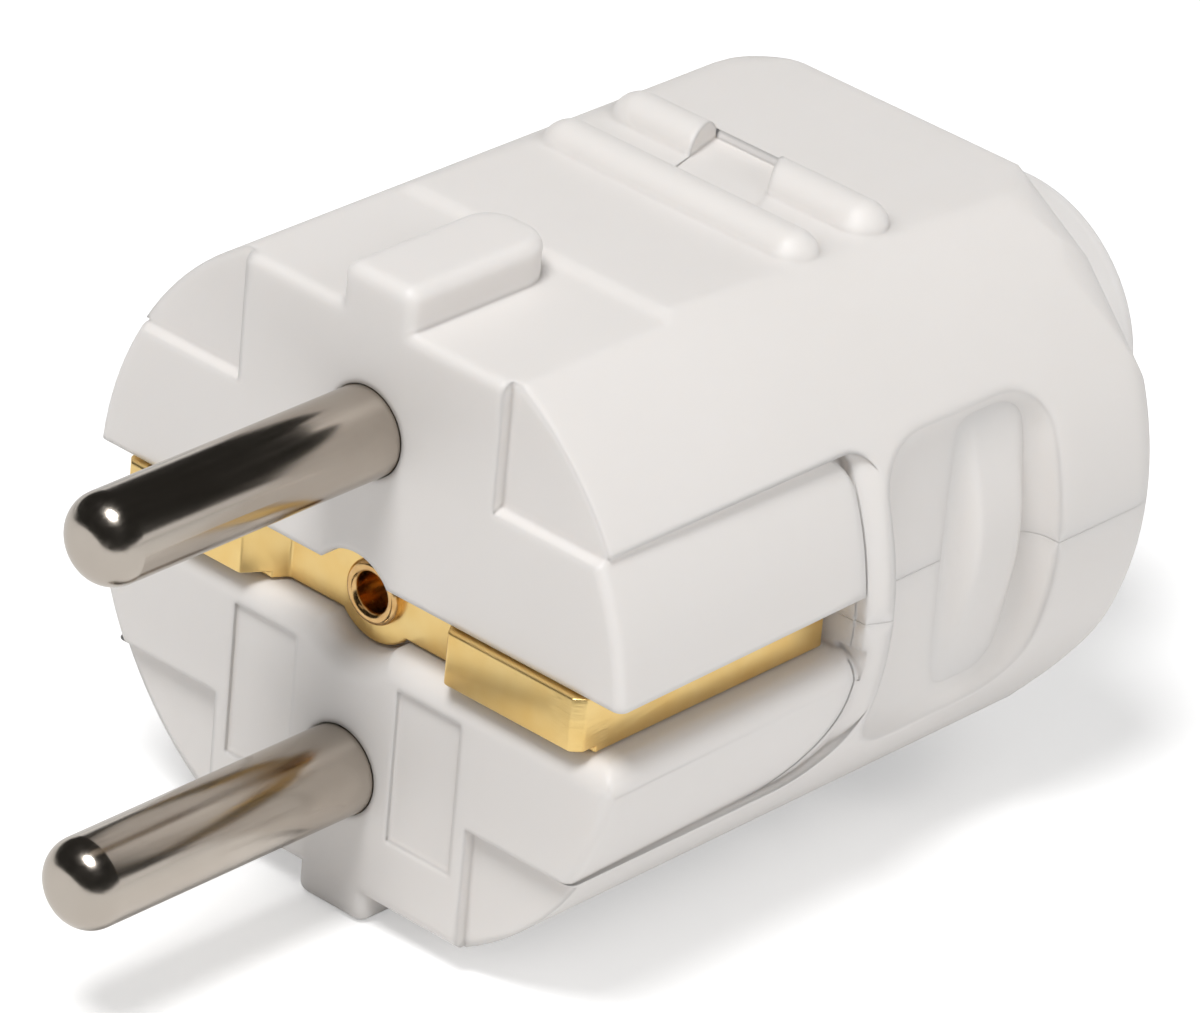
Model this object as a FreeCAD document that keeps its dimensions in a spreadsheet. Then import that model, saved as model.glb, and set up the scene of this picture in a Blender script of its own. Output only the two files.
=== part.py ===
import FreeCAD, Part
import math
import os
from types import SimpleNamespace

import Sketcher
from FreeCAD import Placement, Rotation, Vector

# Rewireable type F plug. Millimetres. The origin is the centre of the engagement face,
# midway between the pins. The pins point to -Y, the cable outlet to +Y, and one pin is
# above the other along Z. The two shells meet on the plane Z = 0.

SIZES = [
    # alias, value, meaning
    ("pin_radius", 2.4, "radius of a contact pin"),
    ("pin_reach", 19.0, "length of a pin in front of the face"),
    ("pin_tip", 1.7, "rounding of the pin tips"),
    ("pin_offset", 9.5, "distance of a pin from the axis, half the pitch"),
    ("pin_hole_radius", 2.45, "hole in the face wall"),
    ("neck_radius", 2.15, "neck of a pin inside the face wall"),
    ("collar_radius", 3.8, "collar behind the face wall"),
    ("collar_end", 6.5, "rear of the collar"),
    ("head_radius", 3.2, "terminal head of a pin"),
    ("head_end", 17.0, "rear of the terminal head"),
    ("head_flat", 2.8, "flat under the terminal screw"),
    ("wire_radius", 1.5, "conductor bore in a terminal head"),
    ("wire_depth", 7.0, "depth of the conductor bore"),
    ("screw_place", 13.6, "position of the terminal screws along Y"),
    ("face_radius", 18.2, "radius of the shell at the face"),
    ("body_radius", 18.1, "radius of the shell at the finger scoops"),
    ("rear_radius", 18.05, "radius of the shell at its rear"),
    ("body_reach", 41.0, "length of the shell behind the face"),
    ("corner_round", 4.6, "rounding of the rear corners beside the flats"),
    ("edge_round", 5.5, "rounding where the flats meet the rear corners"),
    ("face_round", 0.5, "rounding at the front edge"),
    ("rear_round", 2.6, "rounding at the rear edge"),
    ("flat_height", 16.0, "half height over the grip flats in front"),
    ("flat_rear", 15.1, "half height over the grip flats at the rear"),
    ("flat_round", 2.0, "rounding at the rear of the flats"),
    ("flat_reach", 40.4, "rear end of the flats"),
    ("guide_upper", 15.65, "height of the upper guide recess above the axis"),
    ("guide_lower", 15.9, "depth of the lower guide recess below the axis"),
    ("guide_reach", 11.5, "length of the guide recesses"),
    ("guide_edge", 0.5, "rounding at the front of the guide recesses"),
    ("guide_slope", 0.6, "half length of the slope behind the guide recesses"),
    ("guide_half", 10.5, "half width of the guide recess cutter"),
    ("rib_half", 2.35, "half width of the guide rib"),
    ("rib_upper", 17.9, "height of the upper guide rib above the axis"),
    ("rib_lower", 17.6, "depth of the lower guide rib below the axis"),
    ("rib_reach", 10.4, "length of the guide rib"),
    ("rib_corner", 2.0, "rear corners of the guide rib"),
    ("rib_round", 0.7, "rounding of the guide rib"),
    ("panel_front", 18.0, "radius of the side panel at the face"),
    ("panel_rear", 17.6, "radius of the side panel at its rear"),
    ("panel_reach", 18.3, "length of the side panel"),
    ("panel_half", 9.0, "half height of the side panel"),
    ("panel_upper", 2.2, "upper corner of the side panel"),
    ("panel_lower", 5.0, "lower corner of the side panel"),
    ("panel_gap", 0.15, "width of the joint behind the side panel"),
    ("gap_radius", 16.9, "bottom of the gap round the panel"),
    ("gap_upper", 1.0, "upper corner of the gap round the panel"),
    ("lip_end", 19.7, "where the ramp behind the panel ends"),
    ("scoop_start", 19.8, "front edge of the finger scoop"),
    ("scoop_end", 32.4, "rear edge of the finger scoop"),
    ("scoop_floor", 15.5, "distance of the scoop floor from the axis"),
    ("scoop_half", 9.5, "half height of the finger scoop"),
    ("scoop_corner", 3.5, "corners of the finger scoop, seen from the side"),
    ("scoop_round", 1.9, "rounding between the scoop's floor and its walls"),
    ("fin_reach", 16.9, "distance of the fin edge from the axis"),
    ("fin_half", 6.2, "half length of the fin's arch"),
    ("fin_middle", 29.0, "place of the fin along Y"),
    ("fin_width", 1.15, "half thickness of the fin"),
    ("ridge_first", 21.8, "first grip ridge"),
    ("ridge_second", 27.0, "second grip ridge"),
    ("ridge_radius", 1.5, "radius of a grip ridge"),
    ("ridge_height", 16.75, "half height over the grip ridges"),
    ("ridge_half", 7.5, "half length of a grip ridge between its round ends"),
    ("slot_half", 1.8, "half height of the earth strip slot"),
    ("slot_floor", 2.6, "depth of the slot behind the face"),
    ("slot_inner", 14.5, "floor of the slot at the sides"),
    ("slot_reach", 18.2, "length of the slot at the sides"),
    ("slot_round", 1.3, "rounding of the lower slot edge"),
    ("arch_radius", 2.75, "arch of the upper slot edge over the eyelet"),
    ("room_radius", 3.05, "room for the strip's disc"),
    ("disc_radius", 2.85, "disc of the strip round the eyelet"),
    ("strip_half", 1.65, "half width of the earth strip"),
    ("strip_drop", 0.2, "how far the strip sits below the axis"),
    ("strip_sheet", 0.8, "thickness of the earth strip"),
    ("tab_low", 1.5, "lower edge of the contact tabs below the axis"),
    ("strip_recess", 1.8, "depth of the middle of the strip"),
    ("tab_right", 6.8, "inner end of the right contact tab"),
    ("tab_left", 7.3, "inner end of the left contact tab"),
    ("tab_end", 15.2, "outer end of the contact tab"),
    ("tab_face", -0.4, "place of the contact tab, in front of the face"),
    ("leg_reach", 15.5, "outer face of the side leg"),
    ("leg_end", 17.6, "rear end of the side leg"),
    ("eyelet_radius", 1.75, "rolled head of the eyelet"),
    ("eyelet_tube", 1.4, "tube of the eyelet"),
    ("eyelet_bore", 1.05, "bore of the eyelet"),
    ("facet_start", 8.7, "distance of the corner facets from the middle"),
    ("facet_upper", 8.6, "height at which the upper corner facets start"),
    ("facet_lower", 9.0, "depth at which the lower corner facets start"),
    ("facet_slant", 0.3, "slant of the inner wall of a facet"),
    ("facet_depth", 0.65, "depth of the corner facets"),
    ("frame_inner", 3.5, "inner side of the marking frame"),
    ("frame_outer", 7.8, "outer side of the marking frame"),
    ("frame_top", 3.5, "upper side of the marking frame"),
    ("frame_bottom", 12.0, "lower side of the marking frame"),
    ("frame_depth", 0.2, "depth of the marking frame"),
    ("cavity_half", 13.0, "half width inside"),
    ("cavity_height", 13.8, "half height inside"),
    ("cavity_radius", 16.0, "radius inside"),
    ("face_wall", 5.0, "thickness of the face wall"),
    ("rear_wall", 2.0, "thickness of the rear wall"),
    ("carrier_end", 10.5, "rear of the carrier plate"),
    ("carrier_half", 12.8, "half width of the carrier plate"),
    ("carrier_height", 13.0, "half height of the carrier plate"),
    ("carrier_radius", 15.4, "corner radius of the carrier plate"),
    ("barrier_level", 5.2, "height of the barriers"),
    ("barrier_half", 7.5, "half width of the barriers"),
    ("barrier_end", 19.0, "rear of the barriers"),
    ("block_half", 3.2, "half side of the earth terminal"),
    ("block_end", 16.0, "rear of the earth terminal"),
    ("block_bore", 2.1, "conductor bore of the earth terminal"),
    ("thread_radius", 1.4, "shank of a terminal screw"),
    ("head_disc", 2.6, "head of a terminal screw"),
    ("head_thick", 1.8, "height of a screw head"),
    ("slit_width", 0.7, "screwdriver slot"),
    ("slit_depth", 0.8, "depth of the screwdriver slot"),
    ("clamp_place", 25.0, "position of the cord clamp along Y"),
    ("clamp_spread", 8.0, "distance of the clamp screws from the middle"),
    ("post_radius", 2.8, "clamp post"),
    ("post_height", 3.0, "top of the clamp posts"),
    ("bar_half", 10.8, "half length of the clamp bar"),
    ("bar_width", 5.2, "width of the clamp bar"),
    ("bar_thick", 3.0, "thickness of the clamp bar"),
    ("clamp_thread", 1.3, "shank of a clamp screw"),
    ("clamp_head", 2.7, "head of a clamp screw"),
    ("close_place", 32.0, "position of the housing screws along Y"),
    ("close_spread", 8.0, "distance of the housing screws from the middle"),
    ("boss_radius", 3.2, "housing boss"),
    ("foot_radius", 4.4, "foot of the lower housing boss"),
    ("close_thread", 1.5, "shank of a housing screw"),
    ("close_head", 2.8, "head of a housing screw"),
    ("sink_radius", 3.1, "recess for a housing screw head"),
    ("sink_level", 10.8, "bottom of the recess below the axis"),
    ("nut_flat", 2.75, "half width across the flats of a housing nut"),
    ("nut_thick", 2.4, "thickness of a housing nut"),
    ("peg_place", 19.4, "position of the locating pegs along Y"),
    ("peg_spread", 11.2, "distance of the locating pegs from the middle"),
    ("peg_radius", 1.1, "locating peg"),
    ("mouth_radius", 9.0, "hole in the rear wall"),
    ("flange_radius", 10.8, "inner flange of the cable sleeve"),
    ("spout_base", 9.9, "outside of the sleeve at the shell"),
    ("spout_radius", 8.5, "outside of the sleeve at its rim"),
    ("spout_end", 50.4, "rim of the sleeve"),
    ("spout_round", 1.5, "rounding of the rim"),
    ("cable_radius", 4.3, "bore for the cord"),
    ("bell_radius", 6.2, "widened mouth of the bore"),
    ("bell_start", 44.5, "where the bore starts to widen"),
]


class Size:
    """A number that also knows the sheet formula it comes from."""

    def __init__(self, value, text):
        self.value = value
        self.text = text

    def __add__(self, other):
        other = size(other)
        return Size(self.value + other.value, f"({self.text} + {other.text})")

    def __radd__(self, other):
        return size(other) + self

    def __sub__(self, other):
        other = size(other)
        return Size(self.value - other.value, f"({self.text} - {other.text})")

    def __rsub__(self, other):
        return size(other) - self

    def __mul__(self, other):
        other = size(other)
        return Size(self.value * other.value, f"({self.text} * {other.text})")

    def __rmul__(self, other):
        return size(other) * self

    def __truediv__(self, other):
        other = size(other)
        return Size(self.value / other.value, f"({self.text} / {other.text})")

    def __neg__(self):
        return Size(-self.value, f"(0 - {self.text})")


def size(value):
    """Return a plain number as a Size."""
    if isinstance(value, Size):
        return value
    return Size(float(value), f"({float(value)!r})")


def root(value):
    """Return the square root of a Size."""
    return Size(math.sqrt(value.value), f"sqrt({value.text})")


doc = FreeCAD.newDocument("plug")
sheet = doc.addObject("Spreadsheet::Sheet", "sizes")
for row, (alias, value, meaning) in enumerate(SIZES, start=1):
    sheet.set(f"A{row}", meaning)
    sheet.set(f"B{row}", str(value))
    sheet.setAlias(f"B{row}", alias)
doc.recompute()
d = SimpleNamespace(**{alias: Size(value, "sizes." + alias) for alias, value, meaning in SIZES})


def bind(item, prop, value):
    """Drive one property of an item from the sheet."""
    item.setExpression(prop, size(value).text)


def place(item, x=0, y=0, z=0):
    """Drive the position of an item from the sheet."""
    for axis, value in (("x", x), ("y", y), ("z", z)):
        bind(item, f"Placement.Base.{axis}", value)


def box(label, x, y, z):
    """Add a box between a low and a high value on each axis."""
    item = doc.addObject("Part::Box", label)
    for prop, (low, high) in (("Length", x), ("Width", y), ("Height", z)):
        bind(item, prop, size(high) - low)
    place(item, x[0], y[0], z[0])
    return item


TURNS = {
    "x": Rotation(Vector(0, 1, 0), 90),
    "y": Rotation(Vector(1, 0, 0), -90),
    "z": Rotation(),
}


def rod(label, axis, radius, low, high, x=0, y=0, z=0):
    """Add a cylinder along one axis, from low to high on that axis."""
    item = doc.addObject("Part::Cylinder", label)
    item.Placement = Placement(Vector(), TURNS[axis])
    bind(item, "Radius", radius)
    bind(item, "Height", size(high) - low)
    start = {"x": x, "y": y, "z": z}
    start[axis] = low
    place(item, **start)
    return item


def ball(label, radius, x, y, z):
    """Add a sphere."""
    item = doc.addObject("Part::Sphere", label)
    bind(item, "Radius", radius)
    place(item, x, y, z)
    return item


def fuse(label, *items):
    """Join items into one."""
    item = doc.addObject("Part::MultiFuse", label)
    item.Shapes = list(items)
    item.Refine = True
    return item


def cut(label, base, *tools):
    """Take tools away from a base."""
    item = doc.addObject("Part::Cut", label)
    item.Base = base
    item.Tool = tools[0] if len(tools) == 1 else fuse(label + "_tools", *tools)
    item.Refine = True
    return item


def common(label, *items):
    """Keep what all items share."""
    item = doc.addObject("Part::MultiCommon", label)
    item.Shapes = list(items)
    item.Refine = True
    return item


def origin_plane(body, name):
    """Return one of a body's own origin planes."""
    for feature in body.Origin.OriginFeatures:
        if feature.Name.startswith(name):
            return feature
    raise ValueError(name)


def outline(body, label, plane, corners):
    """Draw a closed outline in a new sketch of a body.

    Each corner is (across, along) or (across, along, centre_across, centre_along). The
    longer form makes the side that follows it an arc round that centre.
    """
    sketch = body.newObject("Sketcher::SketchObject", label)
    sketch.AttachmentSupport = (origin_plane(body, plane), [""])
    sketch.MapMode = "FlatFace"
    corners = [tuple(size(value) for value in corner) for corner in corners]
    points = [Vector(corner[0].value, corner[1].value, 0) for corner in corners]
    count = len(corners)
    for index, corner in enumerate(corners):
        start = points[index]
        end = points[(index + 1) % count]
        if len(corner) == 2:
            sketch.addGeometry(Part.LineSegment(start, end), False)
            continue
        centre = Vector(corner[2].value, corner[3].value, 0)
        first = math.atan2(start.y - centre.y, start.x - centre.x)
        last = math.atan2(end.y - centre.y, end.x - centre.x)
        turn = (last - first + math.pi) % (2 * math.pi) - math.pi
        circle = Part.Circle(centre, Vector(0, 0, 1), (start - centre).Length)
        if turn > 0:
            sketch.addGeometry(Part.ArcOfCircle(circle, first, first + turn), False)
        else:
            sketch.addGeometry(Part.ArcOfCircle(circle, last, last - turn), False)
    ends = []
    for index, corner in enumerate(corners):
        geometry = sketch.Geometry[index]
        forward = (geometry.StartPoint - points[index]).Length < 1e-6
        ends.append((1, 2) if forward else (2, 1))
    for index in range(count):
        follow = (index + 1) % count
        sketch.addConstraint(
            Sketcher.Constraint("Coincident", index, ends[index][1], follow, ends[follow][0])
        )
    for index, corner in enumerate(corners):
        for way, axis_id, value in (("DistanceX", -2, corner[0]), ("DistanceY", -1, corner[1])):
            if abs(value.value) < 1e-9:
                sketch.addConstraint(
                    Sketcher.Constraint("PointOnObject", index, ends[index][0], axis_id)
                )
                continue
            number = sketch.addConstraint(
                Sketcher.Constraint(way, -1, 1, index, ends[index][0], value.value)
            )
            sketch.setExpression(f"Constraints[{number}]", value.text)
        if len(corner) == 4:
            radius = (points[index] - Vector(corner[2].value, corner[3].value, 0)).Length
            across = corner[0] - corner[2]
            along = corner[1] - corner[3]
            number = sketch.addConstraint(Sketcher.Constraint("Radius", index, radius))
            reach = root(across * across + along * along)
            sketch.setExpression(f"Constraints[{number}]", reach.text)
    doc.recompute()
    return sketch


def turned(label, corners):
    """Turn an outline (radius, along) round the body's Y axis."""
    body = doc.addObject("PartDesign::Body", label)
    sketch = outline(body, label + "_outline", "XY_Plane", corners)
    turn = body.newObject("PartDesign::Revolution", label + "_turn")
    turn.Profile = sketch
    turn.ReferenceAxis = (sketch, ["V_Axis"])
    turn.Angle = 360
    doc.recompute()
    return body


def prism(label, plane, corners, low, high):
    """Extend an outline along the normal of a plane, from low to high.

    On XY_Plane the outline is (x, y), on YZ_Plane (y, z) and on XZ_Plane (x, z).
    """
    body = doc.addObject("PartDesign::Body", label)
    sketch = outline(body, label + "_outline", plane, corners)
    pad = body.newObject("PartDesign::Pad", label + "_pad")
    pad.Profile = sketch
    bind(pad, "Length", size(high) - low)
    if plane == "XY_Plane":
        place(body, 0, 0, low)
    elif plane == "YZ_Plane":
        place(body, low, 0, 0)
    else:
        place(body, 0, high, 0)
    doc.recompute()
    return body


def round_edges(body, label, radius, chosen):
    """Round the edges of a body's last feature that a test picks."""
    base = body.Tip
    names = [
        f"Edge{number}"
        for number, edge in enumerate(base.Shape.Edges, start=1)
        if chosen(edge)
    ]
    if not names:
        raise ValueError(label + ": no edge to round")
    rounding = body.newObject("PartDesign::Fillet", label)
    rounding.Base = (base, names)
    bind(rounding, "Radius", radius)
    doc.recompute()
    return body


def middle(edge):
    """Return the point halfway along an edge."""
    return edge.valueAt((edge.FirstParameter + edge.LastParameter) / 2)


def runs(edge, axis):
    """Tell whether an edge is straight and parallel to an axis."""
    if not isinstance(edge.Curve, (Part.Line, Part.LineSegment)) or edge.Length < 1e-6:
        return False
    direction = (edge.Vertexes[-1].Point - edge.Vertexes[0].Point).normalize()
    return abs(direction.dot(axis)) > 0.9999


X = Vector(1, 0, 0)
Y = Vector(0, 1, 0)
Z = Vector(0, 0, 1)
far = size(40)


# The outside of both shells as one turned form.
face_edge = d.face_radius - d.face_round
rear_edge = d.rear_radius - d.rear_round
rear_start = d.body_reach - d.rear_round
envelope = turned(
    "envelope",
    [
        (0, 0),
        (face_edge, 0, face_edge, d.face_round),
        (d.face_radius, d.face_round),
        (d.rear_radius, rear_start, rear_edge, rear_start),
        (rear_edge, d.body_reach),
        (0, d.body_reach),
    ],
)


def flats_outline():
    """Return the side view of the grip flats, which close in towards the rear."""
    rear = d.flat_reach - d.flat_round
    level = d.flat_rear - d.flat_round
    return [
        (-1, -d.flat_height),
        (d.guide_reach, -d.flat_height),
        (rear, -d.flat_rear, rear, -level),
        (d.flat_reach, -level),
        (d.body_reach, d.spout_base * -1),
        (d.body_reach, d.spout_base),
        (d.flat_reach, level, rear, level),
        (rear, d.flat_rear),
        (d.guide_reach, d.flat_height),
        (-1, d.flat_height),
    ]


flats = prism("flats", "YZ_Plane", flats_outline(), -far, far)


def corner_tool(label, turn, radius):
    """Cut one rear corner beside the flats round, square to a slanted radius."""
    bend = d.rear_radius - radius
    start = d.body_reach - radius
    body = doc.addObject("PartDesign::Body", label)
    corners = [
        (bend, d.body_reach, bend, start),
        (d.rear_radius, start),
        (far, start),
        (far, far * 2),
        (bend, far * 2),
    ]
    sketch = outline(body, label + "_outline", "XY_Plane", corners)
    pad = body.newObject("PartDesign::Pad", label + "_pad")
    pad.Profile = sketch
    pad.SideType = "Symmetric"
    bind(pad, "Length", 30)
    body.Placement = Placement(Vector(), Rotation(Y, -turn))
    doc.recompute()
    return body


corner_tools = []
for turn in (42, -42, 138, -138):
    corner_tools.append(corner_tool(f"corner_{len(corner_tools)}", turn, d.corner_round))
for turn in (57.7, -57.7, 122.3, -122.3):
    corner_tools.append(corner_tool(f"corner_{len(corner_tools)}", turn, d.edge_round))
form = cut("form", common("form_blank", envelope, flats), *corner_tools)

# Guide recesses with a rib in the middle, above and below.
guide_tools = []
ribs = []
for name, side, level in (("upper", 1, d.guide_upper), ("lower", -1, d.guide_lower)):
    edge_low = side * (level - d.guide_edge)
    recess = prism(
        f"{name}_guide",
        "YZ_Plane",
        [
            (-1, edge_low),
            (0, edge_low, d.guide_edge, edge_low),
            (d.guide_edge, side * level),
            (d.guide_reach - d.guide_slope, side * level),
            (d.guide_reach + d.guide_slope, side * (level + d.guide_slope)),
            (d.guide_reach + d.guide_slope, side * far),
            (-1, side * far),
        ],
        -d.guide_half,
        d.guide_half,
    )
    guide_tools.append(recess)
    low, high = (size(8), d.rib_upper) if side > 0 else (-d.rib_lower, size(-8))
    bend = d.rib_half - d.rib_corner
    bend_start = d.rib_reach - d.rib_corner
    rib = prism(
        f"{name}_rib",
        "XY_Plane",
        [
            (-d.rib_half, 0),
            (d.rib_half, 0),
            (d.rib_half, bend_start, bend, bend_start),
            (bend, d.rib_reach),
            (-bend, d.rib_reach, -bend, bend_start),
            (-d.rib_half, bend_start),
        ],
        low,
        high,
    )
    edge_level = (high - low).value if side > 0 else 0
    round_edges(
        rib,
        f"{name}_rib_round",
        d.rib_round,
        lambda edge, level=edge_level: abs(middle(edge).z - level) < 0.01
        or (runs(edge, Z) and abs(middle(edge).y) < 0.01),
    )
    ribs.append(rib)

# Corner facets of the face, slightly deeper than the middle, with a slanted inner wall.
facets = []
for across in (1, -1):
    for up, level in ((1, d.facet_upper), (-1, d.facet_lower)):
        low, high = (d.facet_start, far) if across > 0 else (-far, -d.facet_start)
        corners = [
            (-1, up * level),
            (0, up * level),
            (d.facet_depth, up * (level + d.facet_slant)),
            (d.facet_depth, up * far),
            (-1, up * far),
        ]
        facets.append(prism(f"facet_{len(facets)}", "YZ_Plane", corners, low, high))


def panel_outline(label, reach, upper, lower):
    """Return the side view of a panel, extended across the plug."""
    return prism(
        label,
        "YZ_Plane",
        [
            (-1, -d.panel_half),
            (reach - lower, -d.panel_half, reach - lower, lower - d.panel_half),
            (reach, lower - d.panel_half),
            (reach, d.panel_half - upper, reach - upper, d.panel_half - upper),
            (reach - upper, d.panel_half),
            (-1, d.panel_half),
        ],
        -far,
        far,
    )


# Side panels: a gap is cut all round and the panel is put back with rounder corners.
gap_ring = turned(
    "gap_ring",
    [(d.gap_radius, -1), (far, -1), (far, d.panel_reach + 1), (d.gap_radius, d.panel_reach + 1)],
)
gap_tool = common(
    "gap_tool",
    gap_ring,
    panel_outline("gap_outline", d.panel_reach, d.gap_upper, d.panel_lower - d.panel_gap),
)
panel_end = d.panel_reach - d.panel_gap
panel_ring = turned(
    "panel_ring",
    [
        (d.gap_radius - 3, 0),
        (d.panel_front - d.face_round, 0, d.panel_front - d.face_round, d.face_round),
        (d.panel_front, d.face_round),
        (d.panel_rear, panel_end),
        (d.gap_radius - 3, panel_end),
    ],
)
panels = common(
    "panels",
    panel_ring,
    panel_outline("panel_shape", panel_end, d.panel_upper, d.panel_lower),
)
ramp_ring = turned(
    "ramp_ring",
    [
        (d.panel_front, -1),
        (d.panel_front, d.face_round),
        (d.panel_rear, d.panel_reach),
        (d.body_radius + 0.1, d.lip_end),
        (far, d.lip_end),
        (far, -1),
    ],
)
ramp_tool = common(
    "ramp_tool",
    ramp_ring,
    panel_outline("ramp_outline", d.lip_end, d.panel_upper, d.panel_lower),
)

# Finger scoops: a round-cornered hollow on each side, with a leaf-shaped fin in it.
scoops = []
fins = []
scoop_front = d.scoop_start + d.scoop_corner
scoop_rear = d.scoop_end - d.scoop_corner
scoop_level = d.scoop_half - d.scoop_corner
for name, side in (("right", 1), ("left", -1)):
    reach = d.scoop_floor + 6
    low, high = (d.scoop_floor, reach) if side > 0 else (-reach, -d.scoop_floor)
    scoop = prism(
        f"{name}_scoop",
        "YZ_Plane",
        [
            (scoop_front, -d.scoop_half),
            (scoop_rear, -d.scoop_half, scoop_rear, -scoop_level),
            (d.scoop_end, -scoop_level),
            (d.scoop_end, scoop_level, scoop_rear, scoop_level),
            (scoop_rear, d.scoop_half),
            (scoop_front, d.scoop_half, scoop_front, scoop_level),
            (d.scoop_start, scoop_level),
            (d.scoop_start, -scoop_level, scoop_front, -scoop_level),
        ],
        low,
        high,
    )
    floor_side = 0 if side > 0 else 6
    round_edges(
        scoop,
        f"{name}_scoop_round",
        d.scoop_round,
        lambda edge, level=floor_side: abs(middle(edge).x - level) < 0.01,
    )
    scoops.append(scoop)
    sagitta = d.fin_reach - d.scoop_floor
    radius = (d.fin_half * d.fin_half + sagitta * sagitta) / (2 * sagitta)
    arch = rod(
        f"{name}_arch",
        "y",
        radius,
        d.fin_middle - 4,
        d.fin_middle + 4,
        x=side * (d.fin_reach - radius),
        z=0.6,
    )
    low, high = (size(14.5), size(18)) if side > 0 else (size(-18), size(-14.5))
    leaf = prism(
        f"{name}_leaf",
        "YZ_Plane",
        [
            (d.fin_middle + 0.7, -4.2),
            (d.fin_middle + d.fin_width + 0.2, -2.2),
            (d.fin_middle + d.fin_width, 0.5),
            (d.fin_middle + d.fin_width * 0.4, 3.4),
            (d.fin_middle - 0.3, 6.0),
            (d.fin_middle - d.fin_width * 0.9, 3.6),
            (d.fin_middle - d.fin_width, 0.6),
            (d.fin_middle - d.fin_width * 0.6, -2.4),
        ],
        low,
        high,
    )
    fins.append(common(f"{name}_fin", arch, leaf))

# Grip ridges above and below. The rear one is broken by a blank slanted window on top.
ridges = []
for name, side in (("upper", 1), ("lower", -1)):
    level = side * (d.ridge_height - d.ridge_radius)
    for number, along in enumerate((d.ridge_first, d.ridge_second), start=1):
        stem = f"{name}_ridge_{number}"
        ridges.append(
            rod(stem, "x", d.ridge_radius, -d.ridge_half, d.ridge_half, y=along, z=level)
        )
        ridges.append(ball(stem + "_right", d.ridge_radius, d.ridge_half, along, level))
        ridges.append(ball(stem + "_left", d.ridge_radius, -d.ridge_half, along, level))
window = prism(
    "window",
    "XY_Plane",
    [(-2.2, 23.4), (3.5, 23.4), (1.2, 28.3), (-3.5, 28.3)],
    d.flat_rear + 0.35,
    far,
)

# Slot for the earth strip, wider above and below the eyelet.
slot_low = -d.slot_half - d.strip_drop
slot_high = d.slot_half - d.strip_drop
strip_low = -d.strip_half - d.strip_drop
strip_high = d.strip_half - d.strip_drop
slot_level = (slot_low, slot_high)
slot = fuse(
    "slot",
    box("slot_front", (-far, far), (-1, d.slot_floor), slot_level),
    rod("slot_arch", "y", d.arch_radius, -1, d.slot_floor),
    rod("slot_room", "y", d.room_radius, d.strip_recess - 0.2, d.slot_floor),
    box("slot_right", (d.slot_inner, far), (-1, d.slot_reach), slot_level),
    box("slot_left", (-far, -d.slot_inner), (-1, d.slot_reach), slot_level),
)

# The lower edge of the slot is rounded across the face and along both sides.
round_low = slot_low - d.slot_round
slot_rounds = [
    prism(
        "slot_front_round",
        "YZ_Plane",
        [
            (-1, round_low),
            (0, round_low, d.slot_round, round_low),
            (d.slot_round, slot_low),
            (d.slot_round, slot_low + 0.5),
            (-1, slot_low + 0.5),
        ],
        -far,
        far,
    )
]
side_edge = root(d.panel_rear * d.panel_rear - round_low * round_low)
taper = math.atan((d.panel_front.value - d.panel_rear.value) / d.panel_reach.value)
for hand, across in (("right", 1), ("left", -1)):
    bend = across * (side_edge - d.slot_round)
    tool = prism(
        f"slot_{hand}_round",
        "XZ_Plane",
        [
            (across * far, round_low),
            (across * side_edge, round_low, bend, round_low),
            (bend, slot_low),
            (bend, slot_low + 0.5),
            (across * far, slot_low + 0.5),
        ],
        -1,
        d.slot_reach,
    )
    spot = Vector(0, d.slot_reach.value, 0)
    tool.Placement = Placement(spot, Rotation(Z, across * math.degrees(taper)))
    slot_rounds.append(tool)

# Below the eyelet the same rounding follows the room for the disc.
dip_edge = d.room_radius + d.slot_round
dip = common(
    "dip",
    turned(
        "dip_ring",
        [
            (0, -1),
            (dip_edge, -1),
            (dip_edge, 0, dip_edge, d.slot_round),
            (d.room_radius, d.slot_round),
            (d.room_radius, d.slot_floor),
            (0, d.slot_floor),
        ],
    ),
    box("dip_half", (-far, far), (-2, 5), (-far, -1)),
)

# Marking frames, left blank.
frames = [
    box(
        f"frame_{name}",
        (d.frame_inner, d.frame_outer) if side > 0 else (-d.frame_outer, -d.frame_inner),
        (-1, d.frame_depth),
        (-d.frame_bottom, -d.frame_top),
    )
    for name, side in (("right", 1), ("left", -1))
]

# Holes for the pins and the eyelet, the hollow inside and the cable mouth.
pin_holes = [
    rod(f"{name}_hole", "y", d.pin_hole_radius, -1, d.face_wall + 1, z=side * d.pin_offset)
    for name, side in (("upper", 1), ("lower", -1))
]
eyelet_hole = fuse(
    "eyelet_hole",
    rod("eyelet_way", "y", d.eyelet_tube, 0, d.face_wall + 1),
    rod("eyelet_room", "y", d.eyelet_radius + 0.25, -1, d.slot_floor),
)
hollow = common(
    "hollow",
    rod("hollow_round", "y", d.cavity_radius, d.face_wall, d.body_reach - d.rear_wall),
    box(
        "hollow_sides",
        (-d.cavity_half, d.cavity_half),
        (0, far),
        (-d.cavity_height, d.cavity_height),
    ),
)
mouth = rod("mouth", "y", d.mouth_radius, 30, 45)

with_guides = cut("with_guides", form, *guide_tools)
with_ribs = fuse("with_ribs", with_guides, *ribs, *ridges)
with_gap = cut("with_gap", with_ribs, gap_tool, ramp_tool, window, *scoops)
with_panels = fuse("with_panels", with_gap, panels, *fins)
housing = cut(
    "housing",
    with_panels,
    slot,
    *slot_rounds,
    dip,
    eyelet_hole,
    mouth,
    hollow,
    *facets,
    *frames,
    *pin_holes,
)
doc.recompute()


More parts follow.
